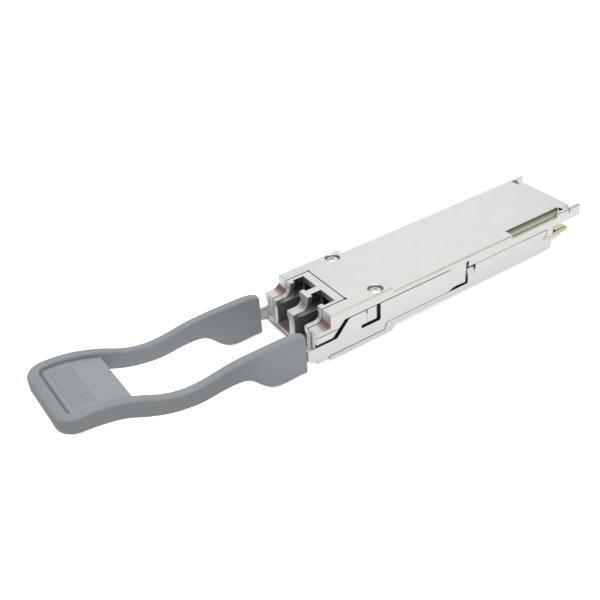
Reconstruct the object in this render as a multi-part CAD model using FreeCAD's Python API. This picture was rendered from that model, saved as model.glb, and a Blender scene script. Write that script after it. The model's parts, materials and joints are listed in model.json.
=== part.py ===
"""Pluggable optical transceiver module with a duplex fibre port, a release slider and a pull tab.

Frame, in millimetres: X runs across the module, +Y along it from the ports to the card edge,
+Z up. The origin is the middle of the cage body's underside, at the hard stop where the raised
head ends. The pull tab lies at -Y.
"""
import FreeCAD
import Part
import math
import os

V = FreeCAD.Vector

# ---- driving dimensions -------------------------------------------------------------------

# cage body and head
BODY_HALF = 18.35 / 2
BODY_TOP = 8.5
PARTING = 5.75
HEAD_TOP = 9.6
HEAD_BOTTOM = -1.2
HEAD_FRONT = -15.3
RAIL_FRONT = -15.8
NOSE_FRONT = -18.8
SHELF = 6.65
SHELL_REAR = 46.9
COVER_REAR = 53.15
EAR_REAR = 55.4
FLOOR = 0.8
ROOF = 7.5
PEDESTAL_LOW = 4.5
CAVITY_HALF = 7.9
BARREL_BAY_HALF = 5.95
BAY_REAR = -1.2

# nose panels, seen from the front
PANEL_IN = 6.75
PANEL_OUT = 8.2
PANEL_LOW = 1.5
PANEL_HIGH = 6.2
PANEL_SINK = 0.35

# port block and optics
PORT_PITCH = 6.25
PORT_WIDTH = 4.65
KEYWAY_WIDTH = 4.0
PORT_FLOOR = 0.75
PORT_TOP = 5.45
LATCH_ROOF = 8.3
BLOCK_HALF = 6.25
BLOCK_SEAM_REAR = -9.75
BLOCK_REAR = -7.45
SEAM_GAP = 0.16
NOSE_FILLET = 1.45
PORT_BACK = -8.7
OPTIC_Z = 3.1
FERRULE_R = 0.625
BARREL_TIP = -16.3
BARREL_NOSE_R = 1.45
BARREL_HOLE_R = 1.5
FIT_GAP = 0.03
SLIDE_GAP = 0.005

# slider recess and slider
RECESS_X = 8.55
RECESS_BACK = 20.95
RAIL_TOP = -0.12
STRIP_LOW = 1.5
STRIP_HIGH = 7.2
TIP_BEND = 0.2
TIP_BEND_START = 15.4
TIP_END = 20.4
SHEET_IN = 8.65
SHEET = 0.5
LATCH_POCKET_REAR = 22.9
STOP_FRONT = -6.35
STOP_REAR = -4.05
STROKE = 1.0

# pull tab
TAB_OUT = 9.2
TAB_IN = 7.3
TAB_FRONT = -69.7
TAB_OPENING_FRONT = -67.4
TAB_BLOCK_REAR = -21.35
TAB_CORNER = 3.4
TAB_OUTER_EASE = 0.7
TAB_INNER_EASE = 0.5

# gaskets between the shells
GASKET_IN = 8.05
GASKET_OUT = 8.25
GASKET_FRONT = 0.45
GASKET_REAR = 43.15

# screws
SCREW_X = 7.25
SCREW_Y = -2.85
SCREW_SEAT = 8.7
SCREW_HOLE_R = 0.8
SCREW_CLEAR_R = 0.85
SCREW_SINK_R = 1.62

# label in the underside
LABEL_HALF = 6.4
LABEL_FRONT = 6.1
LABEL_REAR = 37.9
LABEL_MARGIN = 0.1
LABEL_SINK = 0.15

# supports the board rests on and is held down by
SUPPORT_X = 6.4
SUPPORT_LONG = 1.8

# circuit board
BOARD_BOTTOM = 2.0
BOARD_TOP = 3.0
BOARD_FRONT = 15.6
BOARD_TIP = 53.5
BOARD_HALF = 7.7
CARD_HALF = 8.2
CARD_FRONT = 44.3

FAR = 80.0     # reaches past the module on any side


# ---- geometry helpers ---------------------------------------------------------------------

def to_space(plane, u, v, w):
    """A point of a named plane: u and v in the plane, w along its normal."""
    if plane == "yz":
        return V(w, u, v)
    if plane == "xz":
        return V(u, w, v)
    return V(u, v, w)


def corner_edges(before, corner, after, radius):
    """The two tangent points and the arc that round one corner."""
    back = (before - corner).normalize()
    ahead = (after - corner).normalize()
    half_angle = back.getAngle(ahead) / 2
    reach = radius / math.tan(half_angle)
    start = corner + back * reach
    end = corner + ahead * reach
    inward = (back + ahead).normalize()
    middle = corner + inward * (radius / math.sin(half_angle) - radius)
    return start, end, Part.Arc(start, middle, end).toShape()


def outline(points, plane, level):
    """A closed wire through points; a point's third number rounds its corner."""
    corners = [to_space(plane, p[0], p[1], level) for p in points]
    count = len(corners)
    starts, ends, arcs = [], [], []
    for i, point in enumerate(points):
        if len(point) > 2:
            following = corners[(i + 1) % count]
            start, end, arc = corner_edges(corners[i - 1], corners[i], following, point[2])
        else:
            start, end, arc = corners[i], corners[i], None
        starts.append(start)
        ends.append(end)
        arcs.append(arc)
    edges = []
    for i in range(count):
        if arcs[i]:
            edges.append(arcs[i])
        following = starts[(i + 1) % count]
        if ends[i].distanceToPoint(following) > 1e-6:
            edges.append(Part.makeLine(ends[i], following))
    return Part.Wire(edges)


def prism(points, plane, low, high):
    """The outline extruded along its plane's normal, from low to high."""
    face = Part.Face(outline(points, plane, low))
    return face.extrude(to_space(plane, 0, 0, high - low))


def box(x0, x1, y0, y1, z0, z1):
    return Part.makeBox(x1 - x0, y1 - y0, z1 - z0, V(x0, y0, z0))


def mid_box(half, y0, y1, z0, z1):
    """A box centred on the module's middle plane."""
    return box(-half, half, y0, y1, z0, z1)


def rod(radius, y0, y1, x, z):
    """A cylinder along Y."""
    return Part.makeCylinder(radius, y1 - y0, V(x, y0, z), V(0, 1, 0))


def stud(radius, x, y, z0, z1):
    """A cylinder along Z."""
    return Part.makeCylinder(radius, z1 - z0, V(x, y, z0), V(0, 0, 1))


def mirrored(shape):
    return shape.mirror(V(0, 0, 0), V(1, 0, 0))


def both_sides(shape):
    """The shape and its mirror image, for cutting or fusing."""
    return Part.makeCompound([shape, mirrored(shape)])


def fuse_all(first, others):
    return first.multiFuse(others).removeSplitter()


def cut_all(shape, cutters):
    for cutter in cutters:
        shape = shape.cut(cutter)
    return shape


def save(shape, node):
    """Write one node; every solid in it must be valid."""
    if not shape.isValid() or not shape.Solids:
        raise ValueError(node + " is not a valid solid")
    shape.exportStep("parts/" + node + ".step")


# ---- shared cutters -----------------------------------------------------------------------

def slider_recess():
    """The sunk area on both flanks that the slider's arms lie in, deeper where their tips bend in."""
    jog_low, jog_high, nose_edge = -1.95, -1.35, 4.05
    points = [
        (-FAR, -3), (RAIL_FRONT, -3), (RAIL_FRONT, RAIL_TOP), (jog_low, RAIL_TOP), (jog_high, STRIP_LOW),
        (RECESS_BACK, STRIP_LOW), (RECESS_BACK, STRIP_HIGH), (-11.95, STRIP_HIGH), (-14.95, nose_edge),
        (-FAR, nose_edge),
    ]
    tip_floor = RECESS_X - TIP_BEND + 0.03
    tip_room = box(tip_floor, FAR, TIP_BEND_START - STROKE - 0.4, RECESS_BACK, STRIP_LOW, STRIP_HIGH)
    return both_sides(prism(points, "yz", RECESS_X, FAR).fuse(tip_room))


def latch_pocket():
    """Pocket for the cage's latch tongue, its floor ramping out to the flank at the bottom."""
    depth, low, high = 0.55, 3.1, 5.6
    return both_sides(prism([(BODY_HALF - depth, high), (FAR, high), (FAR, low), (BODY_HALF, low)], "xz",
                            RECESS_BACK - 0.1, LATCH_POCKET_REAR))


def spring_pocket_size():
    """Low and high corners of the near-side pocket that holds a return spring."""
    return (6.6, -12.0, 0.95), (RECESS_X + 0.2, -3.3, 2.85)


def hook_outline(gap):
    """Side view of the hook that locks the cover's rear leg into the shell."""
    leg_front, leg_bottom, barb_front, barb_top = 44.9, 3.35, 44.1, 3.9
    return [
        (leg_front - gap, PARTING + 0.5), (leg_front - gap, barb_top + gap),
        (barb_front - gap, barb_top + gap), (barb_front - gap, leg_bottom - gap),
        (SHELL_REAR + 0.001, leg_bottom - gap),
        (SHELL_REAR + 0.001, PARTING + 0.5),
    ]


def edge_ease(top, y0, y1):
    """What a small chamfer takes off the cover's upper side edge."""
    ease = 0.25
    return prism([(BODY_HALF - ease, top), (BODY_HALF, top - ease), (FAR, top - ease), (FAR, top + ease),
                  (BODY_HALF - ease, top + ease)], "xz", y0, y1)


# ---- die-cast shells ----------------------------------------------------------------------

def make_bottom_shell():
    corner_r = 1.3
    side = [
        (RAIL_FRONT, HEAD_BOTTOM, 0.25), (0.0, HEAD_BOTTOM), (0.9, 0.0), (SHELL_REAR, 0.0, corner_r),
        (SHELL_REAR, PARTING), (NOSE_FRONT, PARTING), (NOSE_FRONT, 0.02, 0.2), (RAIL_FRONT, 0.02),
    ]
    shell = prism(side, "yz", -BODY_HALF, BODY_HALF)
    tongue_half, tongue_rear, tongue_top = 8.1, 51.0, 1.95
    tongue = prism([(CARD_FRONT, FLOOR), (SHELL_REAR - 0.6, FLOOR), (tongue_rear, 1.2, 0.3),
                    (tongue_rear, tongue_top), (CARD_FRONT, tongue_top)], "yz", -tongue_half, tongue_half)

    (x0, y0, z0), (x1, y1, z1) = spring_pocket_size()
    spring_pocket = box(x0, x1, y0, y1, z0, z1)
    groove_depth, groove_high, groove_rear = 0.35, 0.16, 44.8
    parting_groove = box(BODY_HALF - groove_depth, FAR, -FAR, groove_rear, PARTING - groove_high, FAR)
    groove_clearance = 0.03
    gasket_groove = box(GASKET_IN - groove_clearance, GASKET_OUT + groove_clearance,
                        GASKET_FRONT - groove_clearance, GASKET_REAR + groove_clearance,
                        PARTING - 0.22, PARTING + 1)
    panel_r = 0.3
    panel = prism([(PANEL_IN, PANEL_LOW, panel_r), (PANEL_OUT, PANEL_LOW, panel_r), (PANEL_OUT, PARTING + 1),
                   (PANEL_IN, PARTING + 1)], "xz", NOSE_FRONT - 1, NOSE_FRONT + PANEL_SINK)
    hook_gap, screw_hole_end = 0.12, 4.15
    hook_room = prism(hook_outline(hook_gap), "yz", CARD_HALF + 0.05, FAR)
    shell = cut_all(shell, [
        mid_box(BLOCK_HALF + SEAM_GAP, -FAR, BLOCK_REAR + FIT_GAP, -0.001, FAR),
        mid_box(BARREL_BAY_HALF, BLOCK_REAR - 0.5, BAY_REAR, FLOOR, FAR),
        mid_box(CAVITY_HALF, BAY_REAR - 0.001, CARD_FRONT, FLOOR, FAR),
        mid_box(CARD_HALF + 0.1, CARD_FRONT - 0.3, FAR, FLOOR + 0.3, FAR),
        slider_recess(), latch_pocket(), both_sides(spring_pocket), both_sides(gasket_groove),
        both_sides(panel), both_sides(hook_room), both_sides(parting_groove),
        both_sides(stud(SCREW_HOLE_R, SCREW_X, SCREW_Y, screw_hole_end, FAR)),
        mid_box(LABEL_HALF + LABEL_MARGIN, LABEL_FRONT - LABEL_MARGIN, LABEL_REAR + LABEL_MARGIN, -1,
                LABEL_SINK),
    ])
    seat_half = SUPPORT_LONG / 2
    seats = [box(s * SUPPORT_X - seat_half, s * SUPPORT_X + seat_half, y, y + SUPPORT_LONG, FLOOR - 0.1,
                 BOARD_BOTTOM) for s in (-1, 1) for y in (18.0, 30.0, 41.0)]
    return fuse_all(shell, seats + [tongue])


def make_top_cover():
    side = [
        (NOSE_FRONT, PARTING), (SHELL_REAR, PARTING), (SHELL_REAR, 5.6), (EAR_REAR, 5.6, 0.3),
        (EAR_REAR, BODY_TOP, 0.3), (0.5, BODY_TOP, 0.3), (-0.1, HEAD_TOP, 0.2), (HEAD_FRONT, HEAD_TOP, 0.15),
        (HEAD_FRONT, SHELF, NOSE_FILLET), (NOSE_FRONT, SHELF, 0.2),
    ]
    cover = prism(side, "yz", -BODY_HALF, BODY_HALF)
    leg = both_sides(prism(hook_outline(0.0), "yz", CARD_HALF + 0.1, BODY_HALF))
    pedestal = mid_box(SUPPORT_X, 19.0, 25.4, PEDESTAL_LOW, ROOF + 0.1)
    post_long = SUPPORT_LONG - 0.2
    board_posts = [box(s * SUPPORT_X - post_long / 2, s * SUPPORT_X + post_long / 2, y, y + post_long,
                       BOARD_TOP, ROOF) for s in (-1, 1) for y in (30.1, 41.1)]
    block_bay = BLOCK_HALF + SEAM_GAP
    ear_in, plate_notch_in = 8.45, 7.75
    rabbet_in, rabbet_mid = 6.85, 8.0
    rabbet_front, rabbet_rear = 33.75, 50.3
    upper_step = [(rabbet_in, rabbet_front), (rabbet_mid + 0.1, rabbet_front),
                  (rabbet_mid + 0.1, rabbet_rear - 1.3), (rabbet_in, rabbet_rear)]
    lower_step = [(rabbet_mid, rabbet_front), (FAR, rabbet_front), (FAR, rabbet_rear - 2.7),
                  (BODY_HALF, rabbet_rear - 2.7), (rabbet_mid, rabbet_rear - 1.2)]
    near_drain = [(7.1, rabbet_rear - 0.1), (8.4, rabbet_rear - 1.1), (8.3, rabbet_rear + 0.45)]
    far_drain = [(-8.3, rabbet_rear + 1.0), (-5.9, rabbet_rear + 1.3), (-8.15, rabbet_rear + 2.4)]
    panel = box(PANEL_IN, PANEL_OUT, NOSE_FRONT - 1, NOSE_FRONT + PANEL_SINK, PARTING - 1, PANEL_HIGH)
    seam_corner = stud(0.28, BLOCK_HALF + SEAM_GAP / 2, BLOCK_SEAM_REAR + SEAM_GAP / 2, HEAD_TOP - 0.8, FAR)
    shallow = 6.9
    cover = cut_all(cover, [
        mid_box(block_bay, -FAR, BLOCK_SEAM_REAR + SEAM_GAP, 0, FAR),
        mid_box(block_bay, -FAR, BLOCK_REAR + FIT_GAP, 0, LATCH_ROOF + FIT_GAP),
        mid_box(BARREL_BAY_HALF, BLOCK_REAR - 0.5, BAY_REAR, 0, ROOF),
        mid_box(CAVITY_HALF, BAY_REAR - 0.001, 24.0, 0, ROOF),
        mid_box(CAVITY_HALF, 23.9, CARD_FRONT, 0, shallow),
        mid_box(6.4, 23.9, 52.0, 0, ROOF),
        mid_box(CARD_HALF + 0.1, CARD_FRONT - 0.3, FAR, 0, shallow),
        slider_recess(), both_sides(panel), both_sides(seam_corner),
        both_sides(edge_ease(HEAD_TOP, -FAR, -0.1)), both_sides(edge_ease(BODY_TOP, 0.5, FAR)),
        mid_box(ear_in, COVER_REAR, FAR, 0, FAR),
        both_sides(box(plate_notch_in, ear_in, 51.7, FAR, 0, FAR)),
        both_sides(box(plate_notch_in, FAR, 51.55, 51.95, 7.4, FAR)),
        prism(upper_step, "xy", BODY_TOP - 0.5, FAR), prism(lower_step, "xy", BODY_TOP - 0.9, FAR),
        prism(near_drain, "xy", BODY_TOP - 0.9, FAR), prism(far_drain, "xy", BODY_TOP - 0.9, FAR),
        both_sides(stud(SCREW_CLEAR_R, SCREW_X, SCREW_Y, PARTING - 1, FAR)),
        both_sides(stud(SCREW_SINK_R, SCREW_X, SCREW_Y, SCREW_SEAT, FAR)),
    ])
    stop_low, stop_top, stop_face = 3.85, STRIP_HIGH + 0.1, BODY_HALF - 0.02
    stop = both_sides(prism([(STOP_FRONT, stop_low), (STOP_REAR, stop_low, 0.2), (STOP_REAR, stop_top),
                             (STOP_FRONT, stop_top)], "yz", RECESS_X + 0.06, stop_face))
    stop_root = both_sides(box(RECESS_X - 0.2, stop_face, STOP_FRONT, STOP_REAR, PARTING, stop_top))
    return fuse_all(cover, [leg, pedestal, stop, stop_root] + board_posts)


def make_lc_receptacle():
    """The port block: two keyed ports, latch windows above them and the round barrel holes."""
    side = [
        (NOSE_FRONT, 0.0, 0.15), (BLOCK_REAR, 0.0), (BLOCK_REAR, LATCH_ROOF), (BLOCK_SEAM_REAR, LATCH_ROOF),
        (BLOCK_SEAM_REAR, HEAD_TOP), (HEAD_FRONT, HEAD_TOP, 0.15), (HEAD_FRONT, SHELF, NOSE_FILLET),
        (NOSE_FRONT, SHELF, 0.2),
    ]
    block = prism(side, "yz", -BLOCK_HALF, BLOCK_HALF)
    half, key_half, shoulder = PORT_WIDTH / 2, KEYWAY_WIDTH / 2, 0.45
    window_half, window_front, window_rear, latch_half = 2.35, -14.2, -11.6, 1.65
    cutters = []
    for s in (-1, 1):
        x = s * PORT_PITCH / 2
        port = [
            (x - half, PORT_FLOOR, 0.2), (x + half, PORT_FLOOR, 0.2), (x + half, PORT_TOP - shoulder),
            (x + key_half, PORT_TOP), (x + key_half, LATCH_ROOF), (x - key_half, LATCH_ROOF),
            (x - key_half, PORT_TOP), (x - half, PORT_TOP - shoulder),
        ]
        cutters.append(prism(port, "xz", -FAR, PORT_BACK))
        cutters.append(box(x - key_half, x + key_half, -FAR, HEAD_FRONT - NOSE_FILLET + 0.2, PORT_TOP, FAR))
        cutters.append(box(x - window_half, x + window_half, window_front, window_rear, PORT_TOP, FAR))
        cutters.append(box(x - latch_half, x + latch_half, -FAR, window_front + 0.1, PORT_TOP, FAR))
        cutters.append(rod(BARREL_HOLE_R, PORT_BACK - 1, 0, x, OPTIC_Z))
        flare = [(x - half - 0.3, NOSE_FRONT - 0.01), (x + half + 0.3, NOSE_FRONT - 0.01),
                 (x + half - 0.001, NOSE_FRONT + 0.45), (x - half + 0.001, NOSE_FRONT + 0.45)]
        cutters.append(prism(flare, "xy", PORT_FLOOR, PORT_TOP - shoulder))
    return cut_all(block, cutters).removeSplitter()


# ---- fasteners, gaskets, label ------------------------------------------------------------

def make_cover_screws():
    """Two identical screws with a domed head and a cross recess."""
    screws = []
    head_r, head_h, shank_r, shank_end = 1.45, 0.72, 0.77, 4.4
    for s in (-1, 1):
        x = s * SCREW_X
        dome_r = 3.2
        dome = Part.makeSphere(dome_r, V(x, SCREW_Y, SCREW_SEAT + head_h - dome_r))
        head = stud(head_r, x, SCREW_Y, SCREW_SEAT, SCREW_SEAT + head_h).common(dome)
        shank = stud(shank_r, x, SCREW_Y, shank_end, SCREW_SEAT + 0.01)
        arm, depth = 0.75, 0.45
        low = SCREW_SEAT + head_h - depth
        slot = box(x - arm, x + arm, SCREW_Y - 0.14, SCREW_Y + 0.14, low, FAR)
        cross = box(x - 0.14, x + 0.14, SCREW_Y - arm, SCREW_Y + arm, low, FAR)
        screws.append(head.fuse(shank).cut(slot).cut(cross).removeSplitter())
    return Part.makeCompound(screws)


def make_seam_gasket(sign):
    strip = box(GASKET_IN, GASKET_OUT, GASKET_FRONT, GASKET_REAR, PARTING - 0.2, PARTING - 0.005)
    return strip if sign > 0 else mirrored(strip)


def make_blank_label():
    return mid_box(LABEL_HALF, LABEL_FRONT, LABEL_REAR, 0.02, LABEL_SINK - 0.002)


def make_shield_plate():
    """Stamped plate behind the port block, with a hole for each barrel."""
    plate = mid_box(5.8, BLOCK_REAR + 0.03, BLOCK_REAR + 0.28, FLOOR + 0.02, ROOF - 0.1)
    return cut_all(plate, [rod(1.55, -9, -6, s * PORT_PITCH / 2, OPTIC_Z) for s in (-1, 1)])


# ---- optical sub-assemblies ---------------------------------------------------------------

SLEEVE_FRONT = -15.8
SLEEVE_R = 0.8
STUB_TIP = -11.2
STUB_END = -6.4
FLANGE_FRONT = -6.95
FLANGE_R = 2.25
GROOVE_FRONT = -6.15
GROOVE_REAR = -4.85
GROOVE_R = 1.6
PACKAGE_FRONT = -0.9
LID_THICK = 0.22
LEDGE_TOP = 3.45


def make_barrel(sign):
    """Stepped metal barrel: a nose that enters the plug, two flanges and a rear collar."""
    x = sign * PORT_PITCH / 2
    steps = [(BARREL_NOSE_R, BARREL_TIP, FLANGE_FRONT), (FLANGE_R, FLANGE_FRONT, GROOVE_FRONT),
             (GROOVE_R, GROOVE_FRONT, GROOVE_REAR), (FLANGE_R, GROOVE_REAR, -4.05), (2.1, -4.05, -0.95)]
    pieces = [rod(r, y0, y1, x, OPTIC_Z) for r, y0, y1 in steps]
    barrel = fuse_all(pieces[0], pieces[1:])
    mouth = Part.makeCone(1.05, FERRULE_R + 0.05, 0.45, V(x, BARREL_TIP - 0.001, OPTIC_Z), V(0, 1, 0))
    cavity = rod(SLEEVE_R + FIT_GAP, SLEEVE_FRONT, -9.1, x, OPTIC_Z)
    stub_bore = rod(FERRULE_R + FIT_GAP, -17, STUB_END + 0.1, x, OPTIC_Z)
    light_path = rod(0.4, STUB_END, 0, x, OPTIC_Z)
    return cut_all(barrel, [mouth, cavity, stub_bore, light_path])


def make_split_sleeve(sign):
    """Ceramic alignment tube with a lengthwise slit."""
    x = sign * PORT_PITCH / 2
    tube = rod(SLEEVE_R, SLEEVE_FRONT + 0.05, -9.15, x, OPTIC_Z)
    bore = rod(FERRULE_R + SLIDE_GAP, -17, 0, x, OPTIC_Z)
    slit = box(x - 0.12, x + 0.12, -17, 0, OPTIC_Z, OPTIC_Z + 2)
    return cut_all(tube, [bore, slit])


def make_fibre_stub(sign):
    """Ceramic stub that holds the fibre behind the sleeve."""
    x = sign * PORT_PITCH / 2
    return rod(FERRULE_R - SLIDE_GAP, STUB_TIP, STUB_END, x, OPTIC_Z)


def make_package(sign, length, width, low, high):
    """Hybrid package: an open-topped metal box behind its barrel."""
    x = sign * PORT_PITCH / 2
    half, front, wall = width / 2, PACKAGE_FRONT, 0.45
    shell = box(x - half, x + half, front, front + length, low, high)
    well = box(x - half + wall, x + half - wall, front + wall, front + length - wall, low + wall, high + 1)
    window = rod(0.7, front - 1, front + wall + 0.1, x, OPTIC_Z)
    pins_gate = box(x - half + 0.9, x + half - 0.9, front + length - wall - 0.1, front + length + 1, 2.5, 3.5)
    return cut_all(shell, [well, window, pins_gate])


def make_package_lid(sign, length, width, high):
    x = sign * PORT_PITCH / 2
    inset = 0.1
    half, front = width / 2 - inset, PACKAGE_FRONT
    return box(x - half, x + half, front + inset, front + length - inset, high, high + LID_THICK)


def make_feedthrough(sign, length, width):
    """Ceramic ledge that carries the package's tracks out through its rear wall."""
    x = sign * PORT_PITCH / 2
    half, rear, thick = width / 2 - 0.95, PACKAGE_FRONT + length, 0.9
    return box(x - half, x + half, rear - 1.6, rear + 1.0, LEDGE_TOP - thick, LEDGE_TOP)


def make_flex(sign, length, width):
    """Flex circuit: flat on the feedthrough, an S bend, then flat on the board."""
    x = sign * PORT_PITCH / 2
    rear, thick = PACKAGE_FRONT + length, 0.14
    start, end = rear + 0.1, max(BOARD_FRONT + 2.2, rear + 4.2)
    drop_from, drop_to = start + 1.1, end - 1.9
    points = [
        (start, LEDGE_TOP), (drop_from, LEDGE_TOP, 0.6), (drop_to, BOARD_TOP, 0.6), (end, BOARD_TOP),
        (end, BOARD_TOP + thick), (drop_to + 0.05, BOARD_TOP + thick, 0.45),
        (drop_from + 0.05, LEDGE_TOP + thick, 0.75), (start, LEDGE_TOP + thick),
    ]
    half = width / 2 - 1.05
    return prism(points, "yz", x - half, x + half)


def make_saddle(upper):
    """Half of the bracket that grips both barrels between their flanges."""
    half, play = 5.8, 0.05
    low, high = (OPTIC_Z + play, PARTING + 0.35) if upper else (FLOOR + 0.01, OPTIC_Z - play)
    bracket = mid_box(half, GROOVE_FRONT + play, GROOVE_REAR - play, low, high)
    return cut_all(bracket, [rod(GROOVE_R + FIT_GAP, GROOVE_FRONT, GROOVE_REAR, s * PORT_PITCH / 2, OPTIC_Z)
                             for s in (-1, 1)])


# ---- circuit board and its components -----------------------------------------------------

def make_circuit_board():
    tip_r, lead_in = 0.5, 0.35
    plan = [
        (-BOARD_HALF, BOARD_FRONT, 0.4), (BOARD_HALF, BOARD_FRONT, 0.4), (BOARD_HALF, CARD_FRONT),
        (CARD_HALF, CARD_FRONT, 0.2), (CARD_HALF, BOARD_TIP, tip_r), (-CARD_HALF, BOARD_TIP, tip_r),
        (-CARD_HALF, CARD_FRONT, 0.2), (-BOARD_HALF, CARD_FRONT),
    ]
    board = prism(plan, "xy", BOARD_BOTTOM, BOARD_TOP)
    edge = [
        (BOARD_FRONT - 1, BOARD_BOTTOM), (BOARD_TIP - lead_in * 2, BOARD_BOTTOM),
        (BOARD_TIP, BOARD_BOTTOM + lead_in), (BOARD_TIP, BOARD_TOP - lead_in),
        (BOARD_TIP - lead_in * 2, BOARD_TOP), (BOARD_FRONT - 1, BOARD_TOP),
    ]
    return board.common(prism(edge, "yz", -FAR, FAR))


def make_edge_contacts():
    """Nineteen gold fingers above and nineteen below; power and ground fingers are longer."""
    count, pitch, width, thick = 19, 0.8, 0.54, 0.04
    rear = BOARD_TIP - 0.75
    pads = []
    for i in range(count):
        x = (i - (count - 1) / 2) * pitch
        length = 3.1 if i % 3 == 0 else 2.7
        for z in (BOARD_TOP, BOARD_BOTTOM - thick):
            pads.append(box(x - width / 2, x + width / 2, rear - length, rear, z, z + thick))
    return Part.makeCompound(pads)


def make_chip(x, y, side_x, side_y, height):
    """Chip package with a small chamfer round its top."""
    bevel = 0.12
    low = box(x - side_x / 2, x + side_x / 2, y - side_y / 2, y + side_y / 2, BOARD_TOP, BOARD_TOP + height)
    return low.makeChamfer(bevel, [e for e in low.Edges if e.CenterOfMass.z > BOARD_TOP + height - 1e-3])


def make_passives(places, length, width, height, z):
    """Identical two-terminal parts, long side along Y."""
    return Part.makeCompound([box(x - width / 2, x + width / 2, y - length / 2, y + length / 2, z, z + height)
                              for x, y in places])


def grid(xs, ys):
    return [(x, y) for x in xs for y in ys]


# ---- release slider, springs and pull tab -------------------------------------------------

def slider_side_outline():
    """Side view of one arm: nose plate, stop notch, long strip and a tip that rises at its lower edge."""
    front, nose_top = -20.9, 3.45
    foot, strip_low, strip_high = 0.05, STRIP_LOW + 0.1, STRIP_HIGH - 0.2
    play = 0.05
    notch_front, notch_rear, notch_low = STOP_FRONT - play, STOP_REAR + STROKE + play, 3.0
    slot_front, slot_high, slot_r = -7.95, 3.86, 0.42
    tip_low, tip_top = 2.08, STRIP_HIGH - 0.04
    return [
        (front, 1.0), (-20.35, 0.5, 0.2), (-18.5, -0.1), (-16.1, foot), (-2.1, foot, 0.2),
        (-1.5, strip_low, 0.2), (TIP_BEND_START - 0.2, strip_low), (TIP_BEND_START + 2.3, tip_low, 1.0),
        (TIP_END, tip_low - 0.2),
        (TIP_END, tip_top), (TIP_BEND_START + 0.8, tip_top), (TIP_BEND_START, strip_high),
        (notch_rear, strip_high), (notch_rear, notch_low, 0.3), (slot_front, notch_low, slot_r),
        (slot_front, slot_high, slot_r), (notch_front, slot_high), (notch_front, 6.2),
        (notch_front - 0.25, 6.2), (notch_front - 0.25, strip_high), (-10.75, strip_high, 0.4),
        (-13.9, nose_top, 0.4), (front, nose_top),
    ]


def make_release_slider():
    out = SHEET_IN + SHEET
    tang_out, joggle, tang_front = 8.45, 0.45, -26.0
    bend_end, bend_r = TIP_BEND_START + 1.6, 1.5
    plan = [
        (tang_out - SHEET, tang_front), (tang_out, tang_front), (tang_out, -21.3),
        (out, -21.3 + joggle, 0.15),
        (out, TIP_BEND_START, bend_r), (out - TIP_BEND, bend_end, bend_r), (out - TIP_BEND, TIP_END),
        (SHEET_IN - TIP_BEND, TIP_END), (SHEET_IN - TIP_BEND, bend_end, bend_r),
        (SHEET_IN, TIP_BEND_START, bend_r), (SHEET_IN, -20.5), (tang_out - SHEET, -21.0),
    ]
    sheet = prism(plan, "xy", -1, 8)
    plate = sheet.common(prism(slider_side_outline(), "yz", 7, 11))
    tang = prism([(tang_front, 1.2, 0.3), (-20.7, 1.0), (-20.7, 3.45), (tang_front, 3.2, 0.3)], "yz", 7, 11)
    tang = sheet.common(tang)
    anchor_hole = Part.makeCylinder(0.45, 4, V(7, -24.6, 2.2), V(1, 0, 0))
    spring_tab = box(6.95, SHEET_IN + 0.1, -3.9, -3.45, 1.25, 2.55)
    arm = plate.multiFuse([tang, spring_tab]).cut(anchor_hole)

    low, high, outer_r, inner_r = -0.74, 0.4, 0.65, 0.15
    bar_front, bar_rear, relief_r = -18.75, -16.2, 0.22
    cross = [
        (-out, high), (-out, low, outer_r), (out, low, outer_r), (out, high), (SHEET_IN, high),
        (SHEET_IN, low + SHEET, inner_r), (-SHEET_IN, low + SHEET, inner_r), (-SHEET_IN, high),
    ]
    bar = prism(cross, "xz", bar_front, bar_rear)
    relief = both_sides(Part.makeCylinder(relief_r, 4, V(7, bar_front - 0.1, -0.12), V(1, 0, 0)))
    return fuse_all(bar, [arm, mirrored(arm)]).cut(relief)


def spring_span():
    """Fixed end, moving end and axis of the near-side return spring."""
    low, high = spring_pocket_size()
    return low[1] + 0.02, -3.9 - 0.02, (low[0] + RECESS_X) / 2, (low[2] + high[2]) / 2


def make_return_spring(sign):
    """Coil of round wire, ground flat at both ends."""
    start, end, x, z = spring_span()
    wire_r, coil_r, turns = 0.11, 0.68, 8
    length = end - start - 2 * wire_r
    helix = Part.makeHelix(length / turns, length, coil_r)
    path = Part.Wire(helix.Edges)
    profile = Part.Wire(Part.makeCircle(wire_r, V(coil_r, 0, 0), V(0, 1, 0)))
    coil = path.makePipeShell([profile], True, True)
    coil.rotate(V(0, 0, 0), V(1, 0, 0), -90)
    coil.translate(V(x, start + wire_r, z))
    return coil if sign > 0 else mirrored(coil)


def spline(points):
    curve = Part.BSplineCurve()
    curve.interpolate([to_space("yz", y, z, -TAB_OUT) for y, z in points])
    return curve.toShape()


def ribbon(top, bottom, half):
    """A band between two side-view curves, extruded across the module."""
    upper, lower = spline(top), spline(bottom)
    ends = [Part.makeLine(to_space("yz", *bottom[i], -TAB_OUT), to_space("yz", *top[i], -TAB_OUT))
            for i in (0, -1)]
    face = Part.Face(Part.Wire(Part.__sortEdges__([upper, lower] + ends)))
    band = face.extrude(V(2 * half, 0, 0))
    band.translate(V(TAB_OUT - half, 0, 0))
    return band


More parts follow.
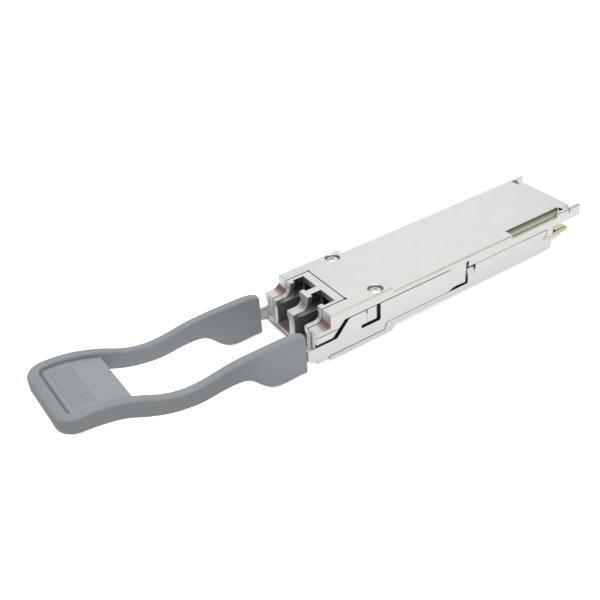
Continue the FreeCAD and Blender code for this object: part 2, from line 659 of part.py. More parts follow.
def tab_body():
    """The rim and arms as one moulding: side view, plan corners and opening, with eased edges."""
    top = [
        (TAB_FRONT, 12.35), (-68.0, 12.65), (-66.0, 12.75), (-64.0, 12.7), (-62.0, 12.45), (-59.7, 11.97),
        (-57.5, 11.27), (-55.3, 10.44), (-53.1, 9.4), (-50.8, 8.35), (-48.4, 7.65), (-45.9, 7.32),
        (-43.3, 7.36), (-40.6, 7.69), (-37.9, 8.1), (-35.2, 8.32), (-32.0, 8.38), (-28.0, 8.38),
        (-24.5, 8.3), (-22.8, 8.05), (TAB_BLOCK_REAR, 7.45),
    ]
    low = [
        (TAB_FRONT, 9.3), (-68.0, 9.25), (-66.0, 9.1), (-64.0, 8.88), (-61.8, 8.52), (-59.7, 8.03),
        (-57.6, 7.25), (-55.5, 6.2), (-53.3, 5.2), (-51.1, 4.38), (-48.8, 3.78), (-46.4, 3.38),
        (-44.0, 3.23), (-41.4, 3.42), (-38.8, 3.66), (-36.4, 3.6), (-34.4, 3.15), (-32.0, 1.1),
        (-29.9, -0.75), (-28.4, -1.42), (-25.5, -1.65), (TAB_BLOCK_REAR, -1.75),
    ]
    recess_r = 1.2
    plan = [(-TAB_OUT, TAB_FRONT, TAB_CORNER), (TAB_OUT, TAB_FRONT, TAB_CORNER), (TAB_OUT, 0), (-TAB_OUT, 0)]
    opening = [
        (-TAB_IN, TAB_OPENING_FRONT, recess_r), (TAB_IN, TAB_OPENING_FRONT, recess_r), (TAB_IN, 0),
        (-TAB_IN, 0),
    ]
    body = ribbon(top, low, TAB_OUT).common(prism(plan, "xy", -FAR, FAR))
    body = body.cut(prism(opening, "xy", -FAR, FAR))

    outer, inner = [], []
    for edge in body.Edges:
        start, end = (vertex.Point for vertex in (edge.Vertexes[0], edge.Vertexes[-1]))
        middle = edge.valueAt((edge.FirstParameter + edge.LastParameter) / 2)
        upright = math.hypot(start.x - end.x, start.y - end.y) < 1e-4
        if upright or abs(middle.y - TAB_BLOCK_REAR) < 1e-4:
            continue
        on_rim = abs(middle.x) > (TAB_IN + TAB_OUT) / 2 or middle.y < (TAB_FRONT + TAB_OPENING_FRONT) / 2
        (outer if on_rim else inner).append((middle, edge))
    eased = body.makeFillet(TAB_OUTER_EASE, [edge for _, edge in outer])
    inner_edges = [edge for edge in eased.Edges
                   if any(edge.distToShape(Part.Vertex(middle))[0] < 1e-4 for middle, _ in inner)]
    heel_low, heel_r = -1.8, 1.1
    envelope = prism([(TAB_FRONT - 1, heel_low), (TAB_BLOCK_REAR, heel_low, heel_r), (TAB_BLOCK_REAR, FAR),
                      (TAB_FRONT - 1, FAR)], "yz", -TAB_OUT - 1, TAB_OUT + 1)
    return eased.makeFillet(TAB_INNER_EASE, inner_edges).common(envelope)


def grip_plate():
    """The sunk grip plate, its upper face ribbed across."""
    half, rib_half, front, rear = TAB_IN + 0.3, 5.9, -67.9, -55.9
    top = [(front, 11.72), (-66.0, 11.82), (-64.0, 11.75), (-62.0, 11.48), (-59.7, 10.92), (-57.5, 10.22),
           (rear, 9.62)]
    low = [(front, 9.6), (-66.0, 9.5), (-64.0, 9.28), (-62.0, 8.95), (-59.7, 8.43), (-57.5, 7.6),
           (rear, 6.85)]
    plate = ribbon(top, low, half)
    rib_front, pitch, count, width, depth = -66.1, 0.45, 10, 0.22, 0.07
    skin = ribbon([(y, z + 1) for y, z in top], [(y, z - depth) for y, z in top], rib_half)
    grooves = [mid_box(rib_half, rib_front + i * pitch, rib_front + i * pitch + width, 0, FAR)
               for i in range(count)]
    return plate.cut(skin.common(Part.makeCompound(grooves)))


def make_pull_tab():
    """Grey moulding: a ribbed grip plate in a rim, and two wavy arms that end in deep blocks."""
    return fuse_all(tab_body(), [grip_plate()]).cut(make_release_slider())


# ---- all nodes ----------------------------------------------------------------------------

def build_parts():
    tx, rx = -1, 1
    tx_size = {"length": 14.2, "width": 6.0}
    rx_size = {"length": 10.6, "width": 5.8}
    tx_high, rx_high = 6.4, 5.9
    package_low = 0.95
    pad_gap = 0.02
    chip_y, chip_height = 22.2, 0.9
    return {
        "bottom_shell": make_bottom_shell(),
        "top_cover": make_top_cover(),
        "lc_receptacle": make_lc_receptacle(),
        "cover_screws": make_cover_screws(),
        "left_seam_gasket": make_seam_gasket(-1),
        "right_seam_gasket": make_seam_gasket(1),
        "blank_label": make_blank_label(),
        "shield_plate": make_shield_plate(),
        "transmitter_barrel": make_barrel(tx),
        "receiver_barrel": make_barrel(rx),
        "transmitter_split_sleeve": make_split_sleeve(tx),
        "receiver_split_sleeve": make_split_sleeve(rx),
        "transmitter_fibre_stub": make_fibre_stub(tx),
        "receiver_fibre_stub": make_fibre_stub(rx),
        "transmitter_package": make_package(tx, low=package_low, high=tx_high, **tx_size),
        "receiver_package": make_package(rx, low=package_low, high=rx_high, **rx_size),
        "transmitter_lid": make_package_lid(tx, high=tx_high, **tx_size),
        "receiver_lid": make_package_lid(rx, high=rx_high, **rx_size),
        "transmitter_feedthrough": make_feedthrough(tx, **tx_size),
        "receiver_feedthrough": make_feedthrough(rx, **rx_size),
        "transmitter_flex": make_flex(tx, **tx_size),
        "receiver_flex": make_flex(rx, **rx_size),
        "barrel_saddle": make_saddle(upper=False),
        "barrel_clamp": make_saddle(upper=True),
        "circuit_board": make_circuit_board(),
        "edge_contacts": make_edge_contacts(),
        "laser_driver_chip": make_chip(-3.4, chip_y, 4.4, 4.4, chip_height),
        "receiver_chip": make_chip(3.4, chip_y, 4.4, 4.4, chip_height),
        "microcontroller": make_chip(-1.6, 33.6, 5.0, 5.0, 0.85),
        "power_converter": make_chip(4.0, 28.6, 2.6, 2.2, 0.9),
        "clock_crystal": make_chip(3.6, 33.2, 2.0, 1.6, 0.6),
        "power_inductors": make_passives([(-5.2, 28.8), (-2.2, 28.8)], 2.2, 2.0, 1.2, BOARD_TOP),
        "upper_capacitors": make_passives(grid((-5.6, -3.6, -1.6, 0.4, 2.4, 4.4), (38.6, 40.4)) +
                                          grid((1.4, 6.6), (26.4,)) + grid((6.6,), (29.0, 33.0, 35.2)),
                                          1.0, 0.5, 0.5, BOARD_TOP),
        "chip_resistors": make_passives(grid((-4.8, -3.2, -1.6, 0.0, 1.6, 3.2, 4.8), (43.0, 46.4)),
                                        0.8, 0.4, 0.26, BOARD_TOP),
        "lower_capacitors": make_passives(grid((-4.0, -2.0, 0.0, 2.0, 4.0), (21.5, 27.0, 36.0)),
                                          1.0, 0.5, 0.5, BOARD_BOTTOM - 0.5),
        "chip_thermal_pads": Part.makeCompound([
            box(x - 1.9, x + 1.9, chip_y - 1.9, chip_y + 1.9, BOARD_TOP + chip_height, PEDESTAL_LOW)
            for x in (-3.4, 3.4)]),
        "transmitter_thermal_pad": box(-PORT_PITCH / 2 - 2.4, -PORT_PITCH / 2 + 2.4, 0.6, 12.0,
                                       tx_high + LID_THICK + pad_gap, ROOF),
        "release_slider": make_release_slider(),
        "pull_tab": make_pull_tab(),
        "left_return_spring": make_return_spring(-1),
        "right_return_spring": make_return_spring(1),
    }


os.makedirs("parts", exist_ok=True)
for node_name, node_shape in build_parts().items():
    save(node_shape, node_name)
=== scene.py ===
"""Looks for the pluggable optical transceiver module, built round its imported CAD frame.

The row frame has +Y from the ports to the card edge and +Z up. The materials mark places in it in
millimetres. Meshes, lights and the camera are in metres, or in millimetres multiplied by MM.
"""

import json
import math

import bmesh
import bpy
from mathutils import Matrix, Vector


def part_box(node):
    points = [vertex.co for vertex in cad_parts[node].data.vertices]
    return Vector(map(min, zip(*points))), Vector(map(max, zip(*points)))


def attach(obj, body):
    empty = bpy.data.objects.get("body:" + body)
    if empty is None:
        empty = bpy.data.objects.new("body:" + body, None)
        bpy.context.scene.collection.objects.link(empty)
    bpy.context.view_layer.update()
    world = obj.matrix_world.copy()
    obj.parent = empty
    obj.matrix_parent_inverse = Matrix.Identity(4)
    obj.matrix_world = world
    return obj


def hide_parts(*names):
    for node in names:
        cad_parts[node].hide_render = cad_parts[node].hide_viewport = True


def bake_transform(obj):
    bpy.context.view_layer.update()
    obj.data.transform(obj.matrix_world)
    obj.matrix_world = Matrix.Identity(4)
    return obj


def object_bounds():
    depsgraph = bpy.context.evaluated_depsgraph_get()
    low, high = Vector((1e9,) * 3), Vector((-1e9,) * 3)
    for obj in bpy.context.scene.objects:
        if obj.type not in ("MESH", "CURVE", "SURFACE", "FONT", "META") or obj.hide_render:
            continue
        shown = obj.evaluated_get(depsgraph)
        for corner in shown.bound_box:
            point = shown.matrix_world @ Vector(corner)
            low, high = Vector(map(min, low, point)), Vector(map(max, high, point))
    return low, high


MM = 0.001

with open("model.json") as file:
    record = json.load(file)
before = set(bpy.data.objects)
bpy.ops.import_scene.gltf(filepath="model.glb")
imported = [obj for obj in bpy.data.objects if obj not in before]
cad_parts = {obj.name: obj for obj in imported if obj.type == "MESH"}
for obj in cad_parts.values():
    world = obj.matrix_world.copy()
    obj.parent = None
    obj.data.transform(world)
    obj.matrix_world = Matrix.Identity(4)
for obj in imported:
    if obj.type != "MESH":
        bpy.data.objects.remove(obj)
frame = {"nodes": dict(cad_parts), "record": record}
nodes = frame["nodes"]
size_at_load = [list(corner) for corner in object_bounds()]


# ---- places that the materials mark, in millimetres ---------------------------------------

def box_mm(node):
    """Lowest and highest corner of a CAD node at rest, in millimetres."""
    low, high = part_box(node)
    return Vector(low) / MM, Vector(high) / MM


cover_low, cover_high = box_mm("top_cover")
screws_low, screws_high = box_mm("cover_screws")
slider_high = box_mm("release_slider")[1]
block_high = box_mm("lc_receptacle")[1]
shell_high = box_mm("bottom_shell")[1]
contacts_low = box_mm("edge_contacts")[0]
tab_low = box_mm("pull_tab")[0]

# outside of the castings
BODY_HALF = cover_high.x
HEAD_TOP = cover_high.z
BODY_TOP = HEAD_TOP - 1.1
NOSE_FRONT = cover_low.y
HEAD_FRONT = NOSE_FRONT + 3.5
HEAD_REAR = -0.1
SHELF = 6.65
PARTING = shell_high.z

# port block
BLOCK_HALF = block_high.x
BLOCK_SEAM_REAR = -9.75
SEAM_HALF_WIDTH = 0.08
PORT_IN = 0.8
PORT_OUT = 5.45
PORT_FLOOR = 0.75
PORT_LIT_TOP = 5.1
WINDOW_FRONT = -14.25
WINDOW_REAR = -11.5

# slider arms, the recess they lie in and the latch pocket behind their tips
ARM_TIP = slider_high.y
ARM_TOP = slider_high.z
RECESS_FLOOR_X = 8.3
RECESS_BACK = 20.95
RECESS_TOP = 7.2
RECESS_STEP = 1.5
POCKET_REAR = 22.95
POCKET_TOP = 5.6

# rear hook of the cover, below the parting line
HOOK_FRONT = 43.95
HOOK_REAR = 44.9
HOOK_LOW = 3.84

# stepped rabbet in the cover's right edge, and the sunk corners behind it
RABBET_IN = 6.85
RABBET_MID = 8.1
RABBET_FRONT = 33.7
RABBET_REAR = 50.34
RABBET_SLANT = 2.7
SUNK_LOW = BODY_TOP - 1.0
SUNK_HIGH = BODY_TOP - 0.08
DRAIN_FRONT = 49.6
FAR_CUT_FRONT = 51.2

# cover screws
SCREW_R = (screws_high.y - screws_low.y) / 2
SCREW_X = screws_high.x - SCREW_R
SCREW_Y = (screws_low.y + screws_high.y) / 2

# pull tab
PLATE_FRONT = tab_low.y + 2.1
PLATE_REAR = -55.9
PLATE_HALF = 7.2


# ---- shader building ----------------------------------------------------------------------

class Shader:
    """A procedural material, built from small named steps in the row frame's coordinates."""

    def __init__(self, name):
        self.material = bpy.data.materials.new(name)
        self.material.use_nodes = True
        self.tree = self.material.node_tree
        self.tree.nodes.clear()
        self.surface = self.add("ShaderNodeBsdfPrincipled")
        output = self.add("ShaderNodeOutputMaterial")
        self.tree.links.new(self.surface.outputs["BSDF"], output.inputs["Surface"])
        place = self.add("ShaderNodeTexCoord").outputs["Object"]
        self.place = self.vector("SCALE", place, scale=1 / MM)
        self.x, self.y, self.z = self.split(self.place)
        self.across = self.size_of(self.x)
        normal = self.add("ShaderNodeNewGeometry").outputs["Normal"]
        self.facing_x, self.facing_y, self.facing_z = self.split(normal)

    def add(self, kind, **settings):
        node = self.tree.nodes.new(kind)
        for key, value in settings.items():
            setattr(node, key, value)
        return node

    def feed(self, socket, value):
        if isinstance(value, bpy.types.NodeSocket):
            self.tree.links.new(value, socket)
        elif isinstance(value, tuple) and len(value) == 3 and socket.type == "RGBA":
            socket.default_value = value + (1.0,)
        else:
            socket.default_value = value

    def split(self, vector):
        node = self.add("ShaderNodeSeparateXYZ")
        self.tree.links.new(vector, node.inputs[0])
        return tuple(node.outputs)

    def math(self, operation, *values):
        node = self.add("ShaderNodeMath", operation=operation)
        for i, value in enumerate(values):
            self.feed(node.inputs[i], value)
        return node.outputs[0]

    def plus(self, first, second):
        return self.math("ADD", first, second)

    def minus(self, first, second):
        return self.math("SUBTRACT", first, second)

    def times(self, first, second):
        return self.math("MULTIPLY", first, second)

    def size_of(self, value):
        return self.math("ABSOLUTE", value)

    def distance(self, first, second):
        """Length of two offsets at right angles."""
        return self.math("SQRT", self.plus(self.times(first, first), self.times(second, second)))

    def vector(self, operation, first, second=None, scale=None):
        node = self.add("ShaderNodeVectorMath", operation=operation)
        self.feed(node.inputs[0], first)
        if second is not None:
            self.feed(node.inputs[1], second)
        if scale is not None:
            self.feed(node.inputs["Scale"], scale)
        return node.outputs["Vector"]

    def mix(self, factor, first, second):
        node = self.add("ShaderNodeMix", data_type="RGBA")
        self.feed(node.inputs["Factor"], factor)
        self.feed(node.inputs[6], first)
        self.feed(node.inputs[7], second)
        return node.outputs[2]

    def span(self, value, low, high, to_low, to_high, kind="SMOOTHSTEP"):
        """Turns low to high into to_low to to_high, and holds the ends outside it."""
        node = self.add("ShaderNodeMapRange", interpolation_type=kind)
        for i, item in enumerate((value, low, high, to_low, to_high)):
            self.feed(node.inputs[i], item)
        return node.outputs[0]

    def spread(self, noise):
        """Stretches the middle of a noise over 0 to 1."""
        return self.span(noise, 0.3, 0.7, 0.0, 1.0)

    def past(self, value, edge, soft=0.1):
        """0 up to the edge, rising to 1 over the soft distance after it."""
        return self.span(value, edge, edge + soft, 0.0, 1.0)

    def until(self, value, edge, soft=0.1):
        """1 up to the edge, falling to 0 over the soft distance after it."""
        return self.span(value, edge, edge + soft, 1.0, 0.0)

    def noise(self, per_mm, detail=3.0, stretch=(1.0, 1.0, 1.0)):
        node = self.add("ShaderNodeTexNoise")
        self.feed(node.inputs["Vector"], self.vector("MULTIPLY", self.place, stretch))
        node.inputs["Scale"].default_value = per_mm
        node.inputs["Detail"].default_value = detail
        return node.outputs["Fac"]

    def cells(self, per_mm):
        node = self.add("ShaderNodeTexVoronoi")
        self.feed(node.inputs["Vector"], self.place)
        node.inputs["Scale"].default_value = per_mm
        return node.outputs["Distance"]

    def within(self, value, low, high, soft=0.03):
        """1 between low and high, fading over soft on both sides of each."""
        rise = self.span(value, low - soft, low + soft, 0.0, 1.0)
        fall = self.span(value, high - soft, high + soft, 1.0, 0.0)
        return self.times(rise, fall)

    def region(self, **limits):
        """1 inside limits such as y=(low, high) or z=(low, high, soft); the axes may include across."""
        return self.all_of(*(self.within(getattr(self, axis), *limit) for axis, limit in limits.items()))

    def all_of(self, *masks):
        result = masks[0]
        for mask in masks[1:]:
            result = self.times(result, mask)
        return result

    def any_of(self, *masks):
        result = masks[0]
        for mask in masks[1:]:
            result = self.math("MAXIMUM", result, mask)
        return result

    def without(self, mask, hole):
        return self.times(mask, self.minus(1.0, hole))

    def sideways(self):
        """1 on faces that look to either side."""
        return self.span(self.size_of(self.facing_x), 0.8, 0.95, 0.0, 1.0)

    def stroke(self, offset, half_width):
        """1 within half_width mm of where the offset is 0."""
        return self.span(self.size_of(offset), half_width - 0.03, half_width + 0.03, 1.0, 0.0)

    def stripes(self, value, pitch, width, phase=0.0):
        """1 on a stripe of the stated width, once every pitch, centred on phase."""
        shifted = self.plus(value, pitch / 2 - phase)
        inside = self.math("FLOORED_MODULO", shifted, pitch)
        offset = self.size_of(self.minus(inside, pitch / 2))
        return self.span(offset, width / 2 - 0.02, width / 2 + 0.02, 1.0, 0.0)

    def crevice_shade(self, reach):
        """Painted shade mask: 0 in the open, towards 1 deep in a corner or a slot."""
        node = self.add("ShaderNodeAmbientOcclusion", samples=4)
        node.inputs["Distance"].default_value = reach * MM
        return self.minus(1.0, node.outputs["AO"])

    def relief(self, height, depth, edge_radius=0.0):
        """Bump of the stated depth in mm over edges eased by edge_radius."""
        bump = self.add("ShaderNodeBump")
        bump.inputs["Distance"].default_value = depth * MM
        self.feed(bump.inputs["Height"], height)
        if edge_radius:
            eased = self.add("ShaderNodeBevel", samples=4)
            eased.inputs["Radius"].default_value = edge_radius * MM
            self.tree.links.new(eased.outputs[0], bump.inputs["Normal"])
        self.tree.links.new(bump.outputs[0], self.surface.inputs["Normal"])

    def finish(self, color, rough, metallic=0.0, **more):
        self.feed(self.surface.inputs["Base Color"], color)
        self.feed(self.surface.inputs["Roughness"], rough)
        self.feed(self.surface.inputs["Metallic"], metallic)
        for key, value in more.items():
            self.feed(self.surface.inputs[key.replace("_", " ")], value)
        return self.material


# ---- castings -----------------------------------------------------------------------------

NICKEL = (0.80, 0.79, 0.775)
BRIGHT_NICKEL = (0.815, 0.808, 0.793)
# painted shade: black for gaps, slots and deep corners
GAP_SHADE_BLACK = (0.012, 0.011, 0.012)
# painted shade inside the ports and the latch windows
PORT_SHADE_BROWN = (0.20, 0.16, 0.15)
PORT_SHADE_BLACK = (0.115, 0.098, 0.102)
WINDOW_SHADE = (0.11, 0.075, 0.085)
WARM_FILLET = (0.30, 0.15, 0.12)
# painted reflection in the cover's eased upper side edges
EDGE_REFLECTION_KHAKI = (0.76, 0.745, 0.63)
# painted dark reflection and painted highlight for the rabbet
RABBET_DARK_REFLECTION = (0.165, 0.158, 0.122)
RABBET_HIGHLIGHT = (0.86, 0.85, 0.74)


def flank_shade_lines(s):
    """Painted shade lines on the flanks: above the slider's arm, round the latch pocket and at the rear hook.
    """
    slope_front, slope_rear, slope_low = HEAD_FRONT + 0.35, HEAD_FRONT + 3.35, 4.05
    fade_front, fade_rear, pocket_line_low = 11.0, 16.5, 4.3
    arm_edge = s.span(s.y, slope_front, slope_rear, slope_low, ARM_TOP - 0.03, "LINEAR")
    above_arm = s.all_of(s.stroke(s.minus(s.z, arm_edge), 0.11), s.span(s.y, fade_front, fade_rear, 0.9, 0.0),
                         s.past(s.y, NOSE_FRONT + 0.1, 0.2))
    pocket_lintel = s.region(y=(ARM_TIP + 0.5, POCKET_REAR), z=(POCKET_TOP - 0.62, POCKET_TOP + 0.06))
    pocket_end = s.region(y=(POCKET_REAR - 0.23, POCKET_REAR + 0.03),
                          z=(pocket_line_low, POCKET_TOP + 0.05, 0.3))
    hook_foot = s.region(y=(HOOK_FRONT, HOOK_REAR), z=(HOOK_LOW, HOOK_LOW + 0.22))
    hook_end = s.region(y=(HOOK_REAR - 0.16, HOOK_REAR + 0.04), z=(HOOK_LOW + 0.06, PARTING))
    lines = s.any_of(above_arm, pocket_lintel, pocket_end, hook_foot, s.times(hook_end, 0.6))
    return s.all_of(lines, s.span(s.across, BODY_HALF - 0.675, BODY_HALF - 0.575, 0.0, 0.92))


def block_seam_shade(s):
    """Painted shade along the seam where the cover meets the port block, and a painted dark dot for a relief
    hole at its near rear corner.
    """
    seam_x, seam_y = BLOCK_HALF + SEAM_HALF_WIDTH, BLOCK_SEAM_REAR + SEAM_HALF_WIDTH
    line_half_width, dot_r = 0.13, 0.34
    offset = s.math("MAXIMUM", s.minus(s.across, seam_x), s.minus(s.y, seam_y))
    dot = s.until(s.distance(s.minus(s.x, seam_x), s.minus(s.y, seam_y)), dot_r, 0.06)
    marks = s.any_of(s.stroke(offset, line_half_width), dot)
    return s.all_of(marks, s.past(s.z, SHELF - 0.25), s.span(s.facing_z, 0.2, 0.4, 0.0, 0.9))


def edge_reflection(s):
    """Painted khaki reflection just under the cover's upper side edges, from the nose to the rabbet."""
    edge_z = s.span(s.y, HEAD_REAR, HEAD_REAR + 0.6, HEAD_TOP, BODY_TOP)
    drop = s.minus(edge_z, s.z)
    line = s.within(drop, 0.05, 0.24, 0.05)
    haze = s.span(drop, 0.2, 0.9, 0.35, 0.0)
    below_edge = s.span(drop, 0.0, 0.08, 0.0, 0.9)
    return s.all_of(s.any_of(line, haze), below_edge, s.past(s.across, BODY_HALF - 0.375),
                    s.until(s.y, RABBET_FRONT - 0.7, 1.0))


def nose_fillet(s):
    """The fillets that rise from the nose's shelf to the head, outside the port block."""
    soft = 0.25
    curve = s.region(y=(HEAD_FRONT - 1.6, HEAD_FRONT - 0.05, soft), z=(SHELF - 0.05, SHELF + 1.05, soft))
    return s.times(s.past(s.across, BLOCK_HALF, 0.05), curve)


def rabbet(s):
    """The stepped rabbet in the cover's right edge, up to its slanting rear end."""
    slant_end = s.span(s.x, RABBET_IN, BODY_HALF, RABBET_REAR, RABBET_REAR - RABBET_SLANT, "LINEAR")
    return s.all_of(s.region(x=(RABBET_IN - 0.05, BODY_HALF + 0.075), z=(SUNK_LOW, SUNK_HIGH)),
                    s.past(s.y, RABBET_FRONT - 0.03, 0.06), s.until(s.minus(s.y, slant_end), 0.0, 0.06))


def rabbet_painted_light(s):
    """Painted highlight and reflection across the rabbet: how brightly each tread shines, with a rising upper
    tread, a line, and a lower tread.
    """
    upper_tread = s.all_of(s.span(s.x, RABBET_IN + 0.45, RABBET_MID - 0.05, 0.08, 0.32),
                           s.until(s.x, RABBET_MID - 0.02, 0.06))
    return s.any_of(upper_tread, s.within(s.x, RABBET_MID - 0.11, RABBET_MID, 0.01),
                    s.span(s.x, RABBET_MID + 0.2, RABBET_MID + 1.2, 0.0, 0.65))


def far_drain(s):
    """The sunk corner beside the left ear, and the ear's inner wall."""
    ear_in, cut_in = -8.35, -5.8
    wall = s.region(x=(ear_in - 0.17, ear_in), y=(FAR_CUT_FRONT, FAR_CUT_FRONT + 2.2, 0.15))
    cut = s.region(x=(ear_in, cut_in), y=(FAR_CUT_FRONT, FAR_CUT_FRONT + 1.6))
    return s.all_of(s.any_of(wall, cut), s.region(z=(SUNK_LOW - 0.1, BODY_TOP - 0.28, 0.12)))


def near_drain_shade(s):
    """The small drain behind the rabbet, painted black as shade since it is too narrow to catch light."""
    return s.region(x=(RABBET_IN + 0.15, BODY_HALF - 0.675), y=(DRAIN_FRONT, DRAIN_FRONT + 1.3),
                    z=(SUNK_LOW, SUNK_HIGH))


def latch_windows(s):
    """Side walls of the two latch windows above the ports, with painted shade, darker towards the top and
    patchy.
    """
    patches = s.span(s.noise(1.1, 3.0), 0.3, 0.6, 0.55, 1.0)
    return s.all_of(s.region(y=(WINDOW_FRONT, WINDOW_REAR), across=(PORT_IN - 0.1, PORT_OUT + 0.15)),
                    s.sideways(), s.span(s.z, SHELF - 0.65, SHELF + 1.15, 0.0, 0.85), patches)


def divider_fillet(s):
    """The fillet at the root of the divider between the ports."""
    curve = s.region(y=(HEAD_FRONT - 1.3, HEAD_FRONT - 0.05, 0.25), z=(SHELF + 0.05, SHELF + 1.25, 0.3))
    return s.times(s.until(s.across, PORT_IN - 0.05, 0.05), curve)


def port_wall_shade(s):
    """Inner walls and floor of the two ports, behind the nose's front edge, which get painted shade."""
    return s.all_of(s.region(across=(PORT_IN - 0.02, PORT_OUT + 0.02), z=(PORT_FLOOR - 0.05, PORT_LIT_TOP)),
                    s.past(s.y, NOSE_FRONT + 0.35, 0.2))


def arm_recess_shade(s):
    """Floor and lower ledge of the slider's recess, seen only through the gaps round its arms, for painted
    shade.
    """
    ledge_front, floor_low = 14.6, -0.2
    ledge = s.all_of(s.region(across=(RECESS_FLOOR_X, BODY_HALF - 0.055)),
                     s.region(z=(RECESS_STEP - 0.1, RECESS_STEP + 0.1)),
                     s.past(s.y, ledge_front, 0.4), s.span(s.facing_z, 0.8, 0.95, 0.0, 1.0))
    floor = s.all_of(s.region(across=(RECESS_FLOOR_X, RECESS_FLOOR_X + 0.33)),
                     s.region(y=(NOSE_FRONT - 0.2, RECESS_BACK + 0.05), z=(floor_low, RECESS_TOP + 0.1)),
                     s.sideways())
    return s.any_of(floor, ledge)


def behind_arm_tip(s):
    """The stretch of the recess behind an arm's tip, which faces the light."""
    lit_low = 4.1
    return s.all_of(s.region(z=(lit_low, POCKET_TOP + 0.1, 0.15)),
                    s.span(s.y, ARM_TIP - 0.1, ARM_TIP, 0.0, 0.85))


def lit_grooves(s):
    """The middle of the parting groove and the recess's end wall, which shine instead of going dark."""
    bright_front, bright_rear, fade, wall_low = 23.0, 38.0, 2.0, 3.75
    parting = s.all_of(s.region(y=(bright_front, bright_rear, fade), z=(PARTING - 0.25, PARTING + 0.1)),
                       s.past(s.across, BODY_HALF - 0.475))
    end_wall = s.all_of(s.region(y=(RECESS_BACK - 0.1, RECESS_BACK + 0.05)),
                        s.region(z=(wall_low, POCKET_TOP + 0.05, 0.1)), s.past(s.across, RECESS_FLOOR_X))
    return s.any_of(parting, end_wall)


def nose_foot_shade(s):
    """Painted shade line along the foot of the nose's front face."""
    line_low, line_high = -0.05, 0.24
    return s.all_of(s.region(z=(line_low, line_high)), s.until(s.y, NOSE_FRONT + 0.4),
                    s.span(s.facing_y, -0.7, -0.5, 0.9, 0.0))


def ejector_marks(s):
    """Round ejector-pin marks in two rows on downward faces."""
    row_x, pitch, phase, mark_r = 5.0, 13.0, 4.2, 1.0
    along = s.minus(s.math("FLOORED_MODULO", s.y, pitch), phase)
    return s.all_of(s.until(s.distance(s.minus(s.across, row_x), along), mark_r, 0.06),
                    s.span(s.facing_z, -0.95, -0.8, 1.0, 0.0))


def cover_marks(s, color):
    """The cover's edges with painted reflection, its fillets, and its rear recesses with painted reflection,
    highlight and shade. The second result is 1 where it isn't metallic.
    """
    color = s.mix(edge_reflection(s), color, EDGE_REFLECTION_KHAKI)
    color = s.mix(s.times(nose_fillet(s), 0.85), color, WARM_FILLET)
    # painted dark reflection and highlight in the rabbet and the far drain, which are made matte
    matte = s.any_of(rabbet(s), far_drain(s))
    color = s.mix(matte, color, s.mix(rabbet_painted_light(s), RABBET_DARK_REFLECTION, RABBET_HIGHLIGHT))
    return s.mix(near_drain_shade(s), color, GAP_SHADE_BLACK), matte


def port_marks(s, color):
    """Painted shade in the port block's depths, on the windows' walls and on the port walls, browner on
    upward faces. The second result is 1 where it isn't metallic.
    """
    color = s.mix(s.span(s.crevice_shade(5.0), 0.42, 0.74, 0.0, 0.95), color, PORT_SHADE_BROWN)
    color = s.mix(latch_windows(s), color, WINDOW_SHADE)
    color = s.mix(s.times(divider_fillet(s), 0.45), color, WARM_FILLET)
    matte = port_wall_shade(s)
    upward = s.span(s.facing_z, 0.5, 0.9, 0.0, 1.0)
    return s.mix(matte, color, s.mix(upward, PORT_SHADE_BLACK, PORT_SHADE_BROWN)), matte


def cast_nickel(name, marks=None):
    """Satin nickel over a die casting: fine grain, painted shade in gaps and crevices, ejector marks and a
    part's own marks.
    """
    s = Shader(name)
    grain = s.noise(5.0, 4.0)
    color = s.mix(s.spread(s.noise(0.25, 2.0)), NICKEL, BRIGHT_NICKEL)
    matte = 0.0
    if marks:
        color, matte = marks(s, color)
    lit_groove, lit_tip = lit_grooves(s), behind_arm_tip(s)
    color = s.mix(lit_groove, color, BRIGHT_NICKEL)
    open_to_light = s.any_of(matte, lit_groove, lit_tip)
    crevice_shade = s.without(s.span(s.crevice_shade(0.4), 0.5, 0.82, 0.0, 0.95), open_to_light)
    recess = s.times(s.without(arm_recess_shade(s), lit_tip), 0.92)
    # painted shade: black in the arms' recess, in crevices, along the flank lines, the block seam and the
    # nose's foot
    gaps = s.any_of(recess, crevice_shade, flank_shade_lines(s), block_seam_shade(s), nose_foot_shade(s))
    color = s.mix(gaps, color, GAP_SHADE_BLACK)
    s.relief(s.minus(grain, s.times(ejector_marks(s), 6.0)), 0.005, 0.1)
    not_metal = s.any_of(matte, lit_groove)
    return s.finish(color, s.span(grain, 0.3, 0.7, 0.36, 0.42), s.minus(1.0, not_metal))


def sheet_nickel():
    """Plated sheet steel, smoother than the castings: fine rolling lines and painted shade on the arms' cut
    edges.
    """
    s = Shader("sheet_nickel")
    lines = s.noise(9.0, 3.0, (1.0, 0.04, 1.0))
    color = s.mix(s.spread(lines), NICKEL, BRIGHT_NICKEL)
    arm_front, arm_low, arm_in = NOSE_FRONT + 1.8, 0.5, slider_high.x - 0.75
    cut_edge_shade = s.all_of(s.span(s.size_of(s.facing_x), 0.3, 0.6, 0.6, 0.0), s.past(s.z, arm_low, 0.2),
                        s.past(s.across, arm_in), s.past(s.y, arm_front, 0.5))
    # painted shade: black in crevices, on the cut edges and along the flank lines
    gaps = s.any_of(s.span(s.crevice_shade(0.4), 0.5, 0.9, 0.0, 0.9), cut_edge_shade, flank_shade_lines(s))
    color = s.mix(gaps, color, GAP_SHADE_BLACK)
    s.relief(lines, 0.002, 0.06)
    return s.finish(color, s.span(lines, 0.2, 0.8, 0.28, 0.36), 1.0)


# ---- other materials ----------------------------------------------------------------------

GRIP_DARK = (0.306, 0.327, 0.348)
GRIP_LIGHT = (0.324, 0.344, 0.366)
